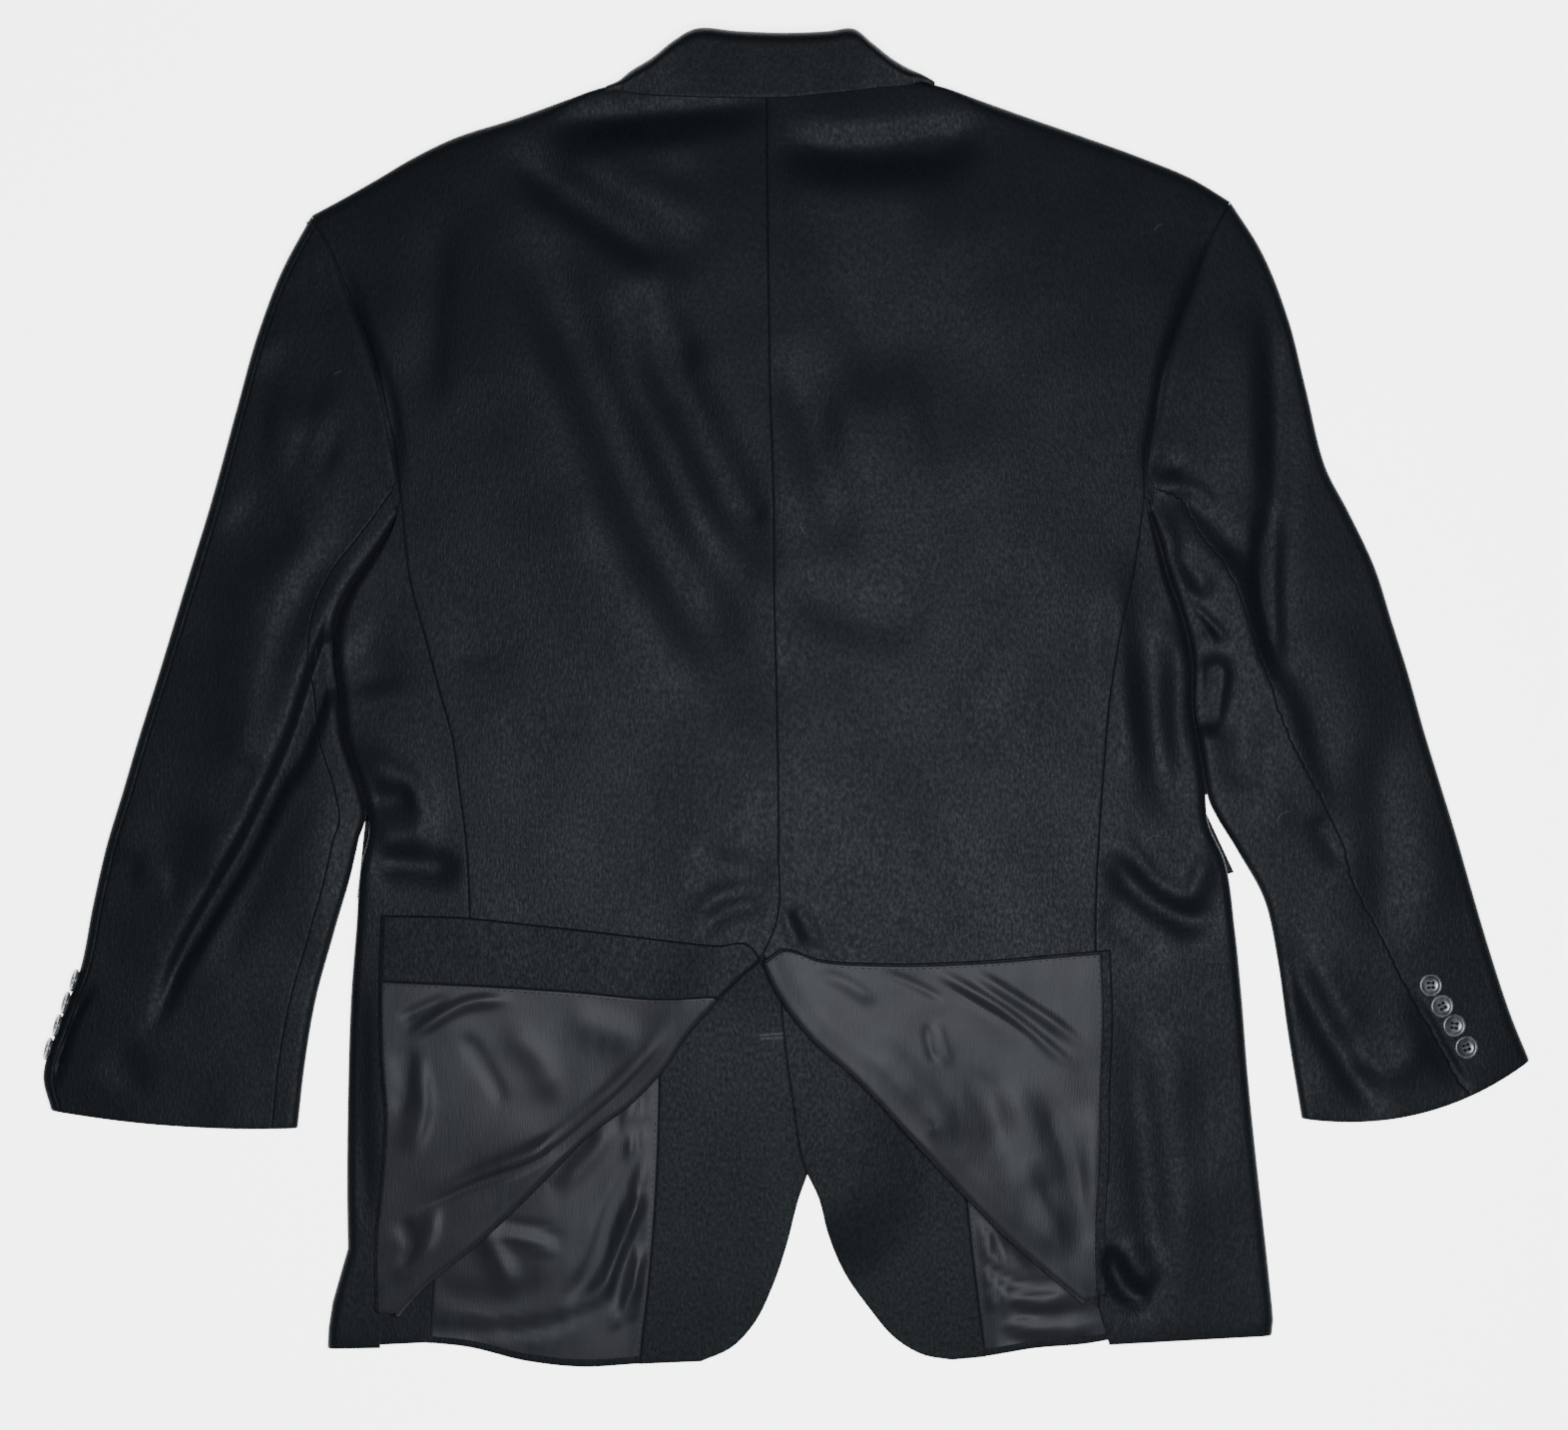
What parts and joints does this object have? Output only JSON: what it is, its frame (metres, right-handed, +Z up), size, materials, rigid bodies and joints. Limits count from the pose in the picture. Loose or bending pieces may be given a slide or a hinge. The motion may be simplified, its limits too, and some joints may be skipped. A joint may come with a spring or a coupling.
{
  "type": "men's blazer laid flat, face down",
  "caption": "Single-breasted dark wool blazer laid flat, back up, with its centre-vent flaps turned up and outward to show the satin lining.",
  "frame": {"origin": "middle of the garment's outline, on the surface it lies on", "axes": "+X from the wearer's left sleeve to the right sleeve, +Y from the hem to the collar, +Z up from the surface, out of the back"},
  "size_m": [0.9225, 0.8299, 0.021],
  "materials": {
    "wool": "soft napped wool, near-black",
    "lining": "charcoal satin",
    "button": "polished dark grey, horn-like"
  },
  "bodies": {
    "root": {"back_left": "wool", "back_right": "wool", "collar": "wool", "collar_leaf_left": "wool", "collar_leaf_right": "wool", "cuff_button_left_1": "button", "cuff_button_left_2": "button", "cuff_button_left_3": "button", "cuff_button_left_4": "button", "cuff_button_right_1": "button", "cuff_button_right_2": "button", "cuff_button_right_3": "button", "cuff_button_right_4": "button", "facing_left": "wool", "facing_right": "wool", "flap_lining_left": "lining", "flap_lining_right": "lining", "front_button_1": "button", "front_button_2": "button", "front_left": "wool", "front_lining_left": "lining", "front_lining_right": "lining", "front_right": "wool", "lapel_left": "wool", "lapel_right": "wool", "pocket_flap_left": "wool", "pocket_flap_right": "wool", "side_left": "wool", "side_right": "wool", "top_sleeve_left": "wool", "top_sleeve_right": "wool", "under_sleeve_left": "wool", "under_sleeve_right": "wool", "vent_facing_left": "wool", "vent_flap_left": "wool", "vent_flap_right": "wool"}
  },
  "joints": []
}
